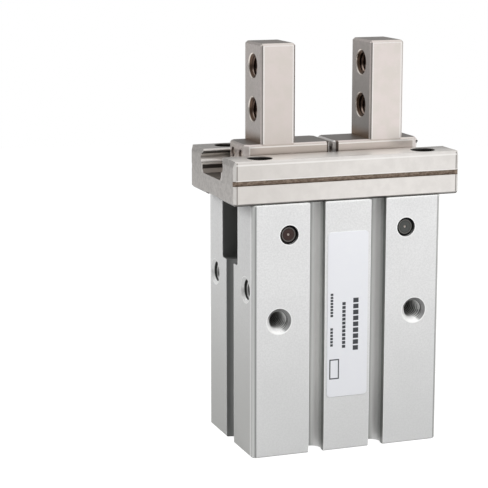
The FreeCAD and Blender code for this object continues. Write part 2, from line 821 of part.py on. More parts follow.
def make_nodes():
    screws = [make_rail_screw(x * screw_x, y * screw_y) for x in SIDES for y in SIDES]
    finger = make_finger_right()
    lever = make_lever_right()
    foot_pins = make_foot_pins_right()
    front_balls = make_ball_row_right(-1)
    back_balls = make_ball_row_right(1)
    return {
        "body": make_body(),
        "guide_rail": make_guide_rail(),
        "rail_screws": Part.makeCompound(screws),
        "locating_pins": Part.makeCompound([make_locating_pin(-1), make_locating_pin(1)]),
        "lever_shaft_left": make_shaft(-1),
        "lever_shaft_right": make_shaft(1),
        "lever_left": mirrored_left(lever),
        "lever_right": lever,
        "finger_left": mirrored_left(finger),
        "finger_right": finger,
        "foot_pins_left": mirrored_left(foot_pins),
        "foot_pins_right": foot_pins,
        "ball_row_left_front": mirrored_left(front_balls),
        "ball_row_left_back": mirrored_left(back_balls),
        "ball_row_right_front": front_balls,
        "ball_row_right_back": back_balls,
        "piston": make_piston(),
        "rod_joint": make_rod_joint(),
        "piston_seal": make_piston_seal(),
        "magnet_ring": make_magnet_ring(),
        "piston_bumper": make_piston_bumper(),
        "end_bumper": make_end_bumper(),
        "rod_seal": make_rod_seal(),
        "seal_retainer": make_seal_retainer(),
        "end_cap": make_end_cap(),
        "cap_gasket": make_cap_gasket(),
        "retaining_ring": make_retaining_ring(),
        "label": make_label(),
    }


def main():
    os.makedirs("parts", exist_ok=True)
    for name, shape in make_nodes().items():
        if not shape.isValid():
            raise ValueError("not a valid solid: " + name)
        shape.exportStep("parts/" + name + ".step")
        box = shape.BoundBox
        print(f"{name:22s} solids {len(shape.Solids)}  volume {shape.Volume:9.2f}"
              f"  x {box.XMin:7.2f} {box.XMax:7.2f}  y {box.YMin:7.2f} {box.YMax:7.2f}"
              f"  z {box.ZMin:7.2f} {box.ZMax:7.2f}")


main()
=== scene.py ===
import math

import bmesh
import bpy
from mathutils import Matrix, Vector


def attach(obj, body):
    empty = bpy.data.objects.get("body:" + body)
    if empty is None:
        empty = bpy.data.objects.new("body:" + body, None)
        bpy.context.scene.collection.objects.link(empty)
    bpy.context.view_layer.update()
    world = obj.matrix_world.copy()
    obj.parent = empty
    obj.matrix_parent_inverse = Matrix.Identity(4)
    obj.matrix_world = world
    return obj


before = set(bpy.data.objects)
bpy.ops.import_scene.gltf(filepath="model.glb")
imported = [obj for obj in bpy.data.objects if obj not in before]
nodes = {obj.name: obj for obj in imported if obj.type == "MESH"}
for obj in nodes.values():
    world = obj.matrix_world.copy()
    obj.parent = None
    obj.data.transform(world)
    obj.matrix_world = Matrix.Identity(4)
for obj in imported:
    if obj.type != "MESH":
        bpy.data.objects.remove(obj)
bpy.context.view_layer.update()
MM = 0.001

# Sizes and places on the part that the looks and threads refer to, in millimetres
BODY_HALF_X = 21.0
BODY_HALF_Y = 13.8
GROOVE_X = 6.8  # middle of the grooves in front and back, mirrored in x
WINDOW_FLOOR_Z = 39.1
FRONT_HOLE = (15.15, 28.8)  # x, z; mirrored in x
SIDE_HOLE = (9.5, 35.0)  # y, z on the side with negative x; mirrored in y
AIR_PORTS = ((6.3, 33.65), (-6.3, 11.45))  # y, z on the side with positive x
BASE_HOLE_X = 15.0
LEVER_PIVOT = (13.02, 46.7)  # x, z; mirrored in x
PIVOT_BORE = 2.04
RAIL_SCREW = (18.15, 10.3)  # x, y; mirrored in both
RAIL_SCREW_BORE = 2.7
FOOT_PIN = (2.3, 61.95)  # y, z; mirrored in y
FOOT_TOP_Z = 64.0
UPRIGHT_TOP_Z = 84.0
FINGER_HOLES_Z = (79.95, 70.95)
HOLE_MOUTH = 2.75  # radius where a tapped hole's countersink meets the face
THREAD_CORE = 2.1
THREAD_PITCH = 0.8

# A face looks along an axis where its normal's part along that axis passes between these
FACING = (0.85, 0.98)


# Node helpers

def material(name):
    mat = bpy.data.materials.new(name)
    mat.use_nodes = True
    tree = mat.node_tree
    tree.nodes.clear()
    out = tree.nodes.new("ShaderNodeOutputMaterial")
    shader = tree.nodes.new("ShaderNodeBsdfPrincipled")
    tree.links.new(shader.outputs["BSDF"], out.inputs["Surface"])
    return mat, tree, shader


def put(tree, socket, value):
    if isinstance(value, bpy.types.NodeSocket):
        tree.links.new(value, socket)
    else:
        socket.default_value = value


def calc(tree, operation, a, b=0.0):
    node = tree.nodes.new("ShaderNodeMath")
    node.operation = operation
    put(tree, node.inputs[0], a)
    put(tree, node.inputs[1], b)
    return node.outputs[0]


def absolute(tree, value):
    return calc(tree, "ABSOLUTE", value)


def plus(tree, a, b):
    return calc(tree, "ADD", a, b)


def minus(tree, a, b):
    return calc(tree, "SUBTRACT", a, b)


def times(tree, *values):
    product = values[0]
    for value in values[1:]:
        product = calc(tree, "MULTIPLY", product, value)
    return product


def largest(tree, values):
    top = values[0]
    for value in values[1:]:
        top = calc(tree, "MAXIMUM", top, value)
    return top


def smallest(tree, values):
    least = values[0]
    for value in values[1:]:
        least = calc(tree, "MINIMUM", least, value)
    return least


def ramp(tree, value, low, high, to_low=0.0, to_high=1.0, smooth=True):
    """to_low below low, to_high past high; a low above high makes it fall."""
    node = tree.nodes.new("ShaderNodeMapRange")
    node.interpolation_type = "SMOOTHSTEP" if smooth else "LINEAR"
    put(tree, node.inputs["Value"], value)
    node.inputs["From Min"].default_value = low
    node.inputs["From Max"].default_value = high
    node.inputs["To Min"].default_value = to_low
    node.inputs["To Max"].default_value = to_high
    return node.outputs["Result"]


def band(tree, value, low, high, soft=0.02):
    """1 between low and high."""
    return times(tree, ramp(tree, value, low - soft, low + soft), ramp(tree, value, high + soft, high - soft))


def mix(tree, factor, a, b):
    node = tree.nodes.new("ShaderNodeMix")
    node.data_type = "RGBA"
    node.clamp_factor = True
    put(tree, node.inputs[0], factor)
    put(tree, node.inputs[6], a)
    put(tree, node.inputs[7], b)
    return node.outputs[2]


def paint(tree, colour, mask, tone, amount=None):
    """The colour with a tone laid over it where the mask is 1, at most by the amount."""
    if amount is not None:
        mask = times(tree, mask, amount)
    return mix(tree, mask, colour, tone)


def rgb(*display):
    """Linear colour from 8-bit display values."""
    out = []
    for v in display:
        c = v / 255.0
        out.append(c / 12.92 if c <= 0.04045 else ((c + 0.055) / 1.055) ** 2.4)
    return (*out, 1.0)


def shade(colour, factor):
    return [c * factor for c in colour[:3]] + [1.0]


def place(tree):
    """Position on the piece in millimetres, as vector, x, y and z."""
    coords = tree.nodes.new("ShaderNodeTexCoord")
    scale = tree.nodes.new("ShaderNodeVectorMath")
    scale.operation = "SCALE"
    scale.inputs["Scale"].default_value = 1.0 / MM
    tree.links.new(coords.outputs["Object"], scale.inputs[0])
    split = tree.nodes.new("ShaderNodeSeparateXYZ")
    tree.links.new(scale.outputs[0], split.inputs[0])
    return scale.outputs[0], split.outputs[0], split.outputs[1], split.outputs[2]


def normal_xyz(tree):
    geometry = tree.nodes.new("ShaderNodeNewGeometry")
    split = tree.nodes.new("ShaderNodeSeparateXYZ")
    tree.links.new(geometry.outputs["True Normal"], split.inputs[0])
    return split.outputs[0], split.outputs[1], split.outputs[2]


def noise(tree, vector, scale, detail=3.0, rough=0.6, stretch=None):
    if stretch is not None:
        mapping = tree.nodes.new("ShaderNodeMapping")
        mapping.inputs["Scale"].default_value = stretch
        tree.links.new(vector, mapping.inputs["Vector"])
        vector = mapping.outputs[0]
    node = tree.nodes.new("ShaderNodeTexNoise")
    node.inputs["Scale"].default_value = scale
    node.inputs["Detail"].default_value = detail
    node.inputs["Roughness"].default_value = rough
    tree.links.new(vector, node.inputs["Vector"])
    return node.outputs["Fac"]


def bump(tree, shader, height, strength, distance_mm=0.02):
    node = tree.nodes.new("ShaderNodeBump")
    node.inputs["Strength"].default_value = strength
    node.inputs["Distance"].default_value = distance_mm * MM
    tree.links.new(height, node.inputs["Height"])
    tree.links.new(node.outputs["Normal"], shader.inputs["Normal"])


def surface(tree, shader, colour, metallic, spots, spread, rough, strength):
    """Colour, metal share, a roughness that the spots raise by the spread, and their bump."""
    put(tree, shader.inputs["Base Color"], colour)
    shader.inputs["Metallic"].default_value = metallic
    put(tree, shader.inputs["Roughness"], plus(tree, times(tree, spots, spread), rough))
    bump(tree, shader, spots, strength)


def from_centre(tree, a, b, centre_a, centre_b):
    """Distance from an axis that crosses the plane (a, b) at the centre."""
    da = minus(tree, a, centre_a)
    db = minus(tree, b, centre_b)
    return calc(tree, "SQRT", plus(tree, times(tree, da, da), times(tree, db, db)))


def tube_mask(tree, a, b, centre_a, centre_b, radius):
    """1 inside a round hole whose axis crosses the plane (a, b) at the centre."""
    return ramp(tree, from_centre(tree, a, b, centre_a, centre_b), radius + 0.03, radius - 0.01)


def from_mirrored(tree, x, middle):
    """x as counted from the nearer one of two middles at plus and minus the given x."""
    return minus(tree, x, times(tree, calc(tree, "SIGN", x), middle))


# Metal of the body. Here and on rail and fingers, tones that change with the place on the part follow the
# light of the photo, as do the differences between left and right, and they stay put under other light.

def low_in_front_hole(tree, x, z):
    """How far below and left of a front hole's centre, in millimetres."""
    across = from_mirrored(tree, x, FRONT_HOLE[0])
    return minus(tree, times(tree, across, -0.8), minus(tree, z, FRONT_HOLE[1]))


def blasted_faces_painted_shade(tree, at, ax, ay, z, grain):
    """Outer faces: pale, finely grained, with painted shade low down, on the narrow sides and along the corners.
    """
    cloud = noise(tree, at, 0.12, 3.0, 0.5)
    colour = mix(tree, ramp(tree, cloud, 0.3, 0.7), rgb(231, 231, 231), rgb(226, 226, 226))
    colour = paint(tree, colour, ramp(tree, grain, 0.35, 0.75), rgb(242, 242, 242), 0.35)
    blasted = noise(tree, at, 2.6, 3.0, 0.75)
    colour = paint(tree, colour, ramp(tree, blasted, 0.35, 0.65), rgb(198, 198, 198), 0.34)
    # Painted shade: darker towards the bottom.
    colour = paint(tree, colour, ramp(tree, z, 42.0, 0.0, 0.0, 0.5), rgb(196, 197, 196))
    nx, ny, nz = normal_xyz(tree)
    # Painted shade on the narrow sides, stronger low down.
    narrow_side = ramp(tree, absolute(tree, nx), *FACING)
    low = ramp(tree, z, 50.0, 5.0, 0.15, 0.75)
    colour = paint(tree, colour, times(tree, narrow_side, low), rgb(176, 176, 173))
    # Painted shade in a band along the rounded vertical corners.
    past_x = ramp(tree, ax, BODY_HALF_X - 1.1, BODY_HALF_X, smooth=False)
    past_y = ramp(tree, ay, BODY_HALF_Y - 1.1, BODY_HALF_Y, smooth=False)
    corner = times(tree, ramp(tree, smallest(tree, [past_x, past_y]), 0.05, 0.2),
                   band(tree, minus(tree, past_x, past_y), -0.75, 0.2, 0.2))
    return paint(tree, colour, corner, rgb(106, 106, 105), 0.88)


def drawn_faces_painted_light(tree, at, x, ax, ay, z, groove):
    """Faces below the outer ones: drawn lines, with painted shade and a painted highlight in the grooves, and
    painted shade in the side grooves and windows.
    """
    lines = noise(tree, at, 1.0, 3.0, 0.6, stretch=(5.0, 5.0, 0.05))
    colour = mix(tree, lines, rgb(216, 217, 215), rgb(234, 235, 233))
    across = from_mirrored(tree, x, GROOVE_X)
    # Painted light in the grooves: shade on the lip, the bottom, the right side and low down, a highlight on the
    # wall.
    lip = times(tree, band(tree, ay, BODY_HALF_Y - 1.5, BODY_HALF_Y - 0.25, 0.15), 0.7)
    bottom = times(tree, band(tree, across, -0.9, 0.5, 0.3), ramp(tree, ay, 9.9, 9.7))
    wall = times(tree, band(tree, across, 1.0, 1.9, 0.2), ramp(tree, ay, 12.0, 11.8))
    right = times(tree, ramp(tree, x, 0.0, 5.0, 0.0, 0.3), ramp(tree, across, 1.0, 0.4, 0.2, 1.0))
    low = ramp(tree, z, 20.0, 0.0, 0.0, 0.3)
    for mask, tone in ((lip, rgb(122, 123, 122)), (bottom, rgb(172, 172, 171)), (wall, rgb(254, 253, 252)),
                       (right, rgb(146, 146, 145)), (low, rgb(134, 134, 133))):
        colour = paint(tree, colour, times(tree, groove, mask), tone)
    # Painted shade in the side grooves.
    side_groove = times(tree, ramp(tree, ay, 2.5, 2.42), band(tree, ax, 18.0, BODY_HALF_X - 0.06))
    colour = paint(tree, colour, side_groove, rgb(140, 141, 140))
    # Painted shade inside the windows.
    window = times(tree, ramp(tree, ay, 4.9, 4.86), ramp(tree, z, WINDOW_FLOOR_Z - 0.05, WINDOW_FLOOR_Z))
    return paint(tree, colour, window, rgb(118, 119, 118))


def bare_holes_painted_light(tree, x, z, level, side_hole):
    """Bare metal of countersinks and walls, with a painted highlight at the lower left of the front holes, and in
    the side holes a pale countersink over painted shade deeper in.
    """
    # Painted highlight: paler towards the lower left of the front holes.
    painted_highlight_low_left = low_in_front_hole(tree, x, z)
    cone = mix(tree, ramp(tree, painted_highlight_low_left, 0.7, 1.7), rgb(146, 146, 146), rgb(230, 230, 229))
    wall = mix(tree, ramp(tree, painted_highlight_low_left, 0.8, 1.5), rgb(168, 168, 167), rgb(236, 236, 235))
    front = mix(tree, ramp(tree, level, -0.45, -0.65), cone, wall)
    # Painted shade deeper in the side holes.
    side = mix(tree, ramp(tree, level, -0.45, -0.6), rgb(244, 244, 243), rgb(52, 52, 51))
    return mix(tree, side_hole, front, side)


def painted_edge_highlights(tree, y, ax, ay, z, left_side, right_side):
    """1 on the painted highlight lines along grooves, windows, holes and corners."""
    def mouth(a, b, centre):
        return band(tree, from_centre(tree, a, b, *centre), HOLE_MOUTH - 0.15, HOLE_MOUTH + 0.1)

    front = ramp(tree, ay, BODY_HALF_Y - 0.12, BODY_HALF_Y - 0.02)
    front_lines = [band(tree, ax, 5.0, 5.1), band(tree, ax, 8.5, 8.6),
                   band(tree, from_centre(tree, ax, z, *LEVER_PIVOT), 2.0, 2.2), mouth(ax, z, FRONT_HOLE)]
    narrow = ramp(tree, ax, BODY_HALF_X - 0.12, BODY_HALF_X - 0.02)
    at_window = ramp(tree, z, WINDOW_FLOOR_Z, WINDOW_FLOOR_Z + 0.1)
    narrow_lines = [times(tree, band(tree, ay, 4.83, 5.1), at_window),
                    times(tree, band(tree, ay, 2.3, 2.5), minus(tree, 1.0, at_window)),
                    times(tree, band(tree, ay, 12.35, 12.9, 0.15), 0.7),
                    times(tree, mouth(ay, z, SIDE_HOLE), left_side)]
    narrow_lines += [times(tree, mouth(y, z, port), right_side) for port in AIR_PORTS]
    return largest(tree, [times(tree, largest(tree, front_lines), front),
                          times(tree, largest(tree, narrow_lines), narrow)])


def anodised():
    """Clear anodised extrusion: blasted outside, drawn lines in the grooves, bare metal in the holes, with
    painted shade and painted highlights over them.
    """
    mat, tree, shader = material("clear_anodised")
    at, x, y, z = place(tree)
    ax, ay = absolute(tree, x), absolute(tree, y)
    grain = noise(tree, at, 9.0, 2.0, 0.7)
    # 0 at the outer faces, negative below them
    level = largest(tree, [minus(tree, ax, BODY_HALF_X - 0.02), minus(tree, ay, BODY_HALF_Y - 0.02)])
    outside = ramp(tree, level, -0.25, 0.0)
    left_side = ramp(tree, x, -12.4, -12.6)
    right_side = ramp(tree, x, 12.4, 12.6)
    ports = largest(tree, [tube_mask(tree, y, z, *port, HOLE_MOUTH) for port in AIR_PORTS])
    side_hole = largest(tree, [times(tree, tube_mask(tree, ay, z, *SIDE_HOLE, HOLE_MOUTH), left_side),
                               times(tree, ports, right_side)])
    holes = largest(tree, [tube_mask(tree, ax, z, *FRONT_HOLE, HOLE_MOUTH), side_hole,
                           tube_mask(tree, ax, z, *LEVER_PIVOT, PIVOT_BORE)])
    bare = times(tree, holes, ramp(tree, level, -0.01, -0.05))
    groove = times(tree, band(tree, ax, GROOVE_X - 2.0, GROOVE_X + 2.0),
                   ramp(tree, ay, BODY_HALF_Y - 0.05, BODY_HALF_Y - 0.1), ramp(tree, ay, 9.3, 9.4))
    colour = mix(tree, outside, drawn_faces_painted_light(tree, at, x, ax, ay, z, groove),
                 blasted_faces_painted_shade(tree, at, ax, ay, z, grain))
    colour = paint(tree, colour, bare, bare_holes_painted_light(tree, x, z, level, side_hole))
    # Painted highlights: bright lines along grooves, windows, holes and corners.
    edge_highlights = painted_edge_highlights(tree, y, ax, ay, z, left_side, right_side)
    colour = paint(tree, colour, edge_highlights, rgb(250, 250, 249), 0.8)
    put(tree, shader.inputs["Base Color"], colour)
    put(tree, shader.inputs["Metallic"], plus(tree, 0.3, times(tree, groove, 0.45)))
    rough = plus(tree, plus(tree, times(tree, outside, 0.1), times(tree, grain, 0.12)), 0.38)
    put(tree, shader.inputs["Roughness"], minus(tree, rough, times(tree, bare, 0.15)))
    bump(tree, shader, grain, 0.35, 0.03)
    return mat


# Metal of rail, fingers and levers

def ground_steel(name, light, dark, rough, details, mottled):
    """Ground, slightly warm steel: fine lines along X, mottled end faces, then a piece's own details."""
    mat, tree, shader = material(name)
    at, x, y, z = place(tree)
    nx, ny, nz = normal_xyz(tree)
    fine = noise(tree, at, 1.0, 4.0, 0.65, stretch=(0.25, 14.0, 14.0))
    blotch = noise(tree, at, 0.35, 4.0, 0.6)
    speck = noise(tree, at, 6.0, 2.0, 0.6)
    patch = noise(tree, at, 1.5, 3.0, 0.65)
    colour = paint(tree, light, ramp(tree, blotch, 0.35, 0.65), dark, 0.5)
    colour = paint(tree, colour, fine, rgb(236, 232, 228), 0.25)
    ends = times(tree, ramp(tree, absolute(tree, nx), 0.5, 0.95), ramp(tree, patch, 0.4, 0.62), mottled)
    colour = paint(tree, colour, ends, rgb(112, 106, 102))
    if details is not None:
        colour = details(tree, colour, (at, x, y, z), (nx, ny, nz))
    put(tree, shader.inputs["Base Color"], colour)
    front_top = times(tree, ramp(tree, nz, *FACING), ramp(tree, y, -7.0, -12.0))
    put(tree, shader.inputs["Metallic"], minus(tree, 0.95, times(tree, front_top, 0.2)))
    put(tree, shader.inputs["Roughness"], plus(tree, times(tree, fine, 0.16), rough - 0.06))
    height = plus(tree, times(tree, fine, 0.7), times(tree, speck, 0.5))
    bump(tree, shader, height, 0.25, 0.012)
    return mat


def rail_details(tree, colour, where, normal):
    """Painted shade on fronts and ends and painted highlights on edges and tops; painted shade in the channel,
    counterbores and on the lower break; brown slot with painted shade at its top.
    """
    at, x, y, z = where
    nx, ny, nz = normal
    ax, ay = absolute(tree, x), absolute(tree, y)
    fronts = ramp(tree, absolute(tree, ny), *FACING)
    ends = ramp(tree, absolute(tree, nx), *FACING)
    tops = ramp(tree, nz, *FACING)

    # Painted shade: fronts darker towards the left.
    outer = times(tree, fronts, ramp(tree, ay, BODY_HALF_Y - 0.1, BODY_HALF_Y - 0.05))
    towards_left = ramp(tree, x, 8.0, -24.0, 0.0, 0.4)
    colour = paint(tree, colour, times(tree, outer, towards_left), rgb(190, 184, 178))
    # Painted shade: dark lines near the ends of the fronts.
    end_lines = band(tree, ax, 24.15, 24.4)
    colour = paint(tree, colour, times(tree, outer, end_lines), rgb(92, 86, 81), 0.7)
    # Painted highlights: bright lines along the fronts.
    long_lines = largest(tree, [band(tree, z, 61.3, 61.62), band(tree, z, 58.25, 58.4)])
    colour = paint(tree, colour, times(tree, outer, long_lines), rgb(252, 250, 247), 0.55)
    # Painted shade on the end faces.
    colour = paint(tree, colour, ends, rgb(150, 145, 141), 0.5)
    # Painted highlight on the tops, stronger towards the front.
    towards_front = ramp(tree, y, -6.0, -13.0, 0.0, 0.7)
    colour = paint(tree, colour, times(tree, tops, towards_front), rgb(250, 246, 241))
    # Painted highlight on the vertical corners.
    corner_highlight = times(tree, ramp(tree, ax, 24.45, 24.6), ramp(tree, ay, 13.2, 13.4))
    colour = paint(tree, colour, corner_highlight, rgb(250, 247, 243), 0.6)
    # Painted highlight on the channel's rim at the ends.
    channel_rim = times(tree, ends, band(tree, ay, 5.9, 6.6, 0.1), ramp(tree, z, 57.3, 57.5))
    colour = paint(tree, colour, channel_rim, rgb(240, 236, 231), 0.5)

    # Painted shade in the channel, darkest on its upper part and walls, with a painted highlight band on the
    # lower lip of the ball groove.
    channel = times(tree, ramp(tree, ay, 6.75, 6.7), ramp(tree, absolute(tree, nx), 0.8, 0.5),
                    ramp(tree, z, 57.2, 57.25), ramp(tree, z, 61.9, 61.8))
    upper = ramp(tree, z, 60.1, 60.6)
    wall = times(tree, fronts, ramp(tree, z, 59.0, 58.9))
    tone = mix(tree, largest(tree, [upper, wall]), rgb(126, 118, 111), rgb(50, 44, 39))
    tone = paint(tree, tone, band(tree, z, 58.95, 59.5, 0.1), rgb(244, 240, 235))
    colour = paint(tree, colour, channel, tone, 0.9)
    # Painted shade on the counterbore walls.
    bore_wall = ramp(tree, from_centre(tree, ax, ay, *RAIL_SCREW), RAIL_SCREW_BORE, RAIL_SCREW_BORE - 0.06)
    colour = paint(tree, colour, times(tree, bore_wall, ramp(tree, z, 62.15, 61.9)), rgb(44, 36, 32), 0.92)
    # Painted shade on the lower break.
    lowest = plus(tree, 0.7, times(tree, ramp(tree, z, 53.35, 53.2), 0.28))
    colour = paint(tree, colour, times(tree, ramp(tree, z, 53.62, 53.56), lowest), rgb(62, 58, 55))

    slot = times(tree, ramp(tree, ay, 13.77, 13.74), ramp(tree, ay, 13.02, 13.05),
                 ramp(tree, z, 57.17, 57.19), ramp(tree, z, 58.23, 58.21))
    spots = noise(tree, at, 1.0, 3.0, 0.6, stretch=(1.2, 3.0, 3.0))
    brown = mix(tree, ramp(tree, spots, 0.3, 0.7), rgb(104, 90, 78), rgb(146, 131, 118))
    # Painted shade at the top of the slot.
    brown = paint(tree, brown, ramp(tree, z, 58.0, 58.15), rgb(40, 32, 28))
    return paint(tree, colour, slot, brown)


def from_finger_hole(tree, y, z):
    """Distance from the nearer axis of the two holes through a finger."""
    return smallest(tree, [from_centre(tree, y, z, 0.0, hole_z) for hole_z in FINGER_HOLES_Z])


def low_in_finger_hole(tree, z):
    """1 at the lower wall of the holes through a finger."""
    below = [absolute(tree, minus(tree, z, hole_z - 1.75)) for hole_z in FINGER_HOLES_Z]
    return ramp(tree, smallest(tree, below), 1.3, 0.5)


def finger_details(tree, colour, where, normal):
    """Painted shade on the side faces, tops, the left finger's front and the feet's fronts; edge lines of painted
    shade and painted highlights; a brown tint low on the uprights; painted light at the feet's inner ends; in the
    holes dark brown with painted shade deep in and painted highlights at the rim and on the lower wall.
    """
    at, x, y, z = where
    nx, ny, nz = normal
    ax = absolute(tree, x)
    along_x, along_y = absolute(tree, nx), absolute(tree, ny)
    sides = ramp(tree, along_x, 0.8, 0.98)
    fronts = ramp(tree, along_y, 0.8, 0.98)
    upright = ramp(tree, z, FOOT_TOP_Z + 0.2, FOOT_TOP_Z + 0.3)

    def down(at_top, at_foot):
        return ramp(tree, z, UPRIGHT_TOP_Z, FOOT_TOP_Z, at_top, at_foot, smooth=False)

    # Painted shade: dark lines along the uprights' edges.
    dark_lines = largest(tree, [band(tree, ax, 8.58, 8.76), band(tree, ax, 15.53, 15.71)])
    dark_lines = times(tree, dark_lines, ramp(tree, along_y, 0.3, 0.6), upright)
    colour = paint(tree, colour, dark_lines, rgb(84, 80, 76), 0.55)
    # Painted shade on the side faces, stronger towards the foot.
    darker = times(tree, sides, down(0.2, 0.5), ramp(tree, z, FOOT_TOP_Z, FOOT_TOP_Z + 0.3, 0.1, 1.0))
    colour = paint(tree, colour, darker, rgb(140, 137, 134))
    shaded = times(tree, ramp(tree, nx, -0.85, -0.98), ramp(tree, x, 6.0, 8.0), down(0.35, 0.7))
    colour = paint(tree, colour, shaded, rgb(96, 92, 88))
    # Painted shade on the tops.
    tops = times(tree, ramp(tree, nz, *FACING), ramp(tree, z, 64.3, UPRIGHT_TOP_Z, 0.6, 0.45))
    colour = paint(tree, colour, tops, rgb(120, 117, 113))
    # Painted shade on the left finger's front, stronger towards the foot.
    left_front = times(tree, fronts, ramp(tree, x, 0.0, -1.0), down(0.15, 0.45))
    colour = paint(tree, colour, left_front, rgb(192, 183, 176))
    # Painted shade on the feet's fronts.
    foot = times(tree, fronts, ramp(tree, z, FOOT_TOP_Z + 0.2, FOOT_TOP_Z))
    colour = paint(tree, colour, foot, rgb(166, 152, 138), 0.35)
    # Painted highlights along the feet's edges.
    foot_lines = largest(tree, [band(tree, z, 63.5, 63.8), band(tree, ax, 18.3, 18.6)])
    colour = paint(tree, colour, times(tree, foot, foot_lines), rgb(250, 247, 243), 0.8)
    low = times(tree, ramp(tree, z, 67.0, 64.3), sides, ramp(tree, z, FOOT_TOP_Z - 0.1, FOOT_TOP_Z + 0.1))
    colour = paint(tree, colour, low, rgb(122, 96, 72), 0.85)
    # Painted highlights along the uprights' edges.
    edges = largest(tree, [band(tree, ax, 8.75, 9.05), band(tree, ax, 15.2, 15.5), band(tree, z, 84.2, 84.4)])
    colour = paint(tree, colour, times(tree, edges, fronts, upright), rgb(252, 250, 247), 0.6)
    # Painted light at the feet's inner ends: a highlight near the middle, shade further out.
    inner_end = times(tree, ramp(tree, ax, 1.35, 1.3), ramp(tree, z, FOOT_TOP_Z + 0.25, FOOT_TOP_Z + 0.1))
    end_tone = mix(tree, ramp(tree, ax, 0.8, 0.9), rgb(254, 252, 250), rgb(84, 70, 60))
    colour = paint(tree, colour, inner_end, end_tone, 0.85)

    # Painted light in the holes: a highlight at the rim, shade deep in, a paler lower wall.
    holes = largest(tree, [tube_mask(tree, y, z, 0.0, hole_z, HOLE_MOUTH) for hole_z in FINGER_HOLES_Z])
    cone = times(tree, holes, ramp(tree, along_x, 0.95, 0.8))
    bore = times(tree, cone, ramp(tree, along_x, 0.5, 0.3))
    at_rim = ramp(tree, from_finger_hole(tree, y, z), 2.45, 2.6)
    colour = paint(tree, colour, cone, mix(tree, at_rim, rgb(92, 74, 62), rgb(230, 222, 214)))
    bore_tone = mix(tree, low_in_finger_hole(tree, z), rgb(44, 34, 28), rgb(160, 136, 122))
    return paint(tree, colour, bore, bore_tone)


# Materials of the small pieces, the threads and the label

def turned(name, colour, metallic, rough):
    """Turned about Z: fine rings."""
    mat, tree, shader = material(name)
    at, x, y, z = place(tree)
    radius = from_centre(tree, x, y, 0.0, 0.0)
    rings = calc(tree, "SINE", times(tree, plus(tree, radius, z), 60.0))
    cloud = noise(tree, at, 0.8, 3.0, 0.5)
    put(tree, shader.inputs["Base Color"], mix(tree, cloud, colour, shade(colour, 0.82)))
    shader.inputs["Metallic"].default_value = metallic
    put(tree, shader.inputs["Roughness"], plus(tree, times(tree, cloud, 0.15), rough))
    bump(tree, shader, rings, 0.3, 0.01)
    return mat


def plain(name, colour, metallic, rough, grain_scale=4.0, grain=0.15, contrast=0.8):
    """Small pieces: a little colour change and a fine grain."""
    mat, tree, shader = material(name)
    at = place(tree)[0]
    spots = noise(tree, at, grain_scale, 3.0, 0.6)
    cloud = noise(tree, at, grain_scale / 8, 2.0, 0.5)
    surface(tree, shader, mix(tree, cloud, colour, shade(colour, contrast)), metallic, spots, 0.15, rough, grain)
    return mat


def shaft_dark():
    """Blackened shaft: a black rim of painted shade, lighter ground end face, reddish on the left and greenish on
    the right.
    """
    mat, tree, shader = material("blackened_pin")
    at, x, y, z = place(tree)
    distance = from_centre(tree, absolute(tree, x), z, *LEVER_PIVOT)
    spots = noise(tree, at, 3.5, 3.0, 0.6)
    left = mix(tree, spots, rgb(48, 35, 33), rgb(76, 60, 56))
    right = mix(tree, spots, rgb(68, 70, 68), rgb(92, 94, 92))
    core = mix(tree, ramp(tree, x, -5.0, 5.0), left, right)
    core = paint(tree, core, band(tree, distance, 1.18, 1.3, 0.04), rgb(44, 41, 40))
    core = paint(tree, core, band(tree, distance, 1.3, 1.45, 0.04), rgb(112, 110, 107))
    core = paint(tree, core, ramp(tree, distance, 0.3, 0.18), rgb(214, 206, 200))
    # Painted shade: black on the rim, where the recess shades the end.
    colour = mix(tree, ramp(tree, distance, 1.56, 1.5), rgb(12, 11, 11), core)
    surface(tree, shader, colour, 0.7, spots, 0.2, 0.4, 0.2)
    return mat


def foot_pin():
    """Short pin in a foot's end face: dark ring, lighter core with a bright centre."""
    mat, tree, shader = material("foot_pin_steel")
    at, x, y, z = place(tree)
    distance = from_centre(tree, absolute(tree, y), z, *FOOT_PIN)
    spots = noise(tree, at, 4.0, 3.0, 0.6)
    core = mix(tree, spots, rgb(140, 122, 112), rgb(176, 160, 150))
    core = paint(tree, core, ramp(tree, distance, 0.32, 0.2), rgb(216, 208, 200))
    core = paint(tree, core, band(tree, distance, 0.75, 1.1, 0.06), rgb(38, 32, 29))
    surface(tree, shader, core, 0.8, spots, 0.15, 0.32, 0.15)
    return mat


def at_root(tree, distance):
    """1 on the part of a thread ridge that lies at the hole's wall."""
    return ramp(tree, distance, THREAD_CORE - 0.2, THREAD_CORE - 0.05)


def cut_aluminium():
    """Thread ridges of the body: bright crests, painted shade at the roots, a painted highlight at the lower left
    in front.
    """
    mat, tree, shader = material("cut_aluminium")
    at, x, y, z = place(tree)
    ax, ay = absolute(tree, x), absolute(tree, y)
    spots = noise(tree, at, 6.0, 3.0, 0.6)
    axes = [(ax, z, *FRONT_HOLE), (ay, z, *SIDE_HOLE), (ax, y, BASE_HOLE_X, 0.0)]
    axes += [(y, z, *port) for port in AIR_PORTS]
    distance = smallest(tree, [from_centre(tree, *axis) for axis in axes])
    crest = mix(tree, spots, rgb(206, 206, 205), rgb(228, 228, 227))
    # Painted shade at the roots.
    colour = mix(tree, at_root(tree, distance), crest, rgb(100, 100, 99))
    # Painted highlight at the lower left of the front holes.
    near_front = times(tree, ramp(tree, ay, 9.2, 10.2), band(tree, z, 26.0, 31.4, 0.3))
    painted_highlight_low_left = ramp(tree, low_in_front_hole(tree, x, z), 0.8, 1.5, 0.0, 0.9)
    colour = paint(tree, colour, times(tree, near_front, painted_highlight_low_left), rgb(236, 236, 235))
    surface(tree, shader, colour, 0.6, spots, 0.15, 0.28, 0.2)
    return mat


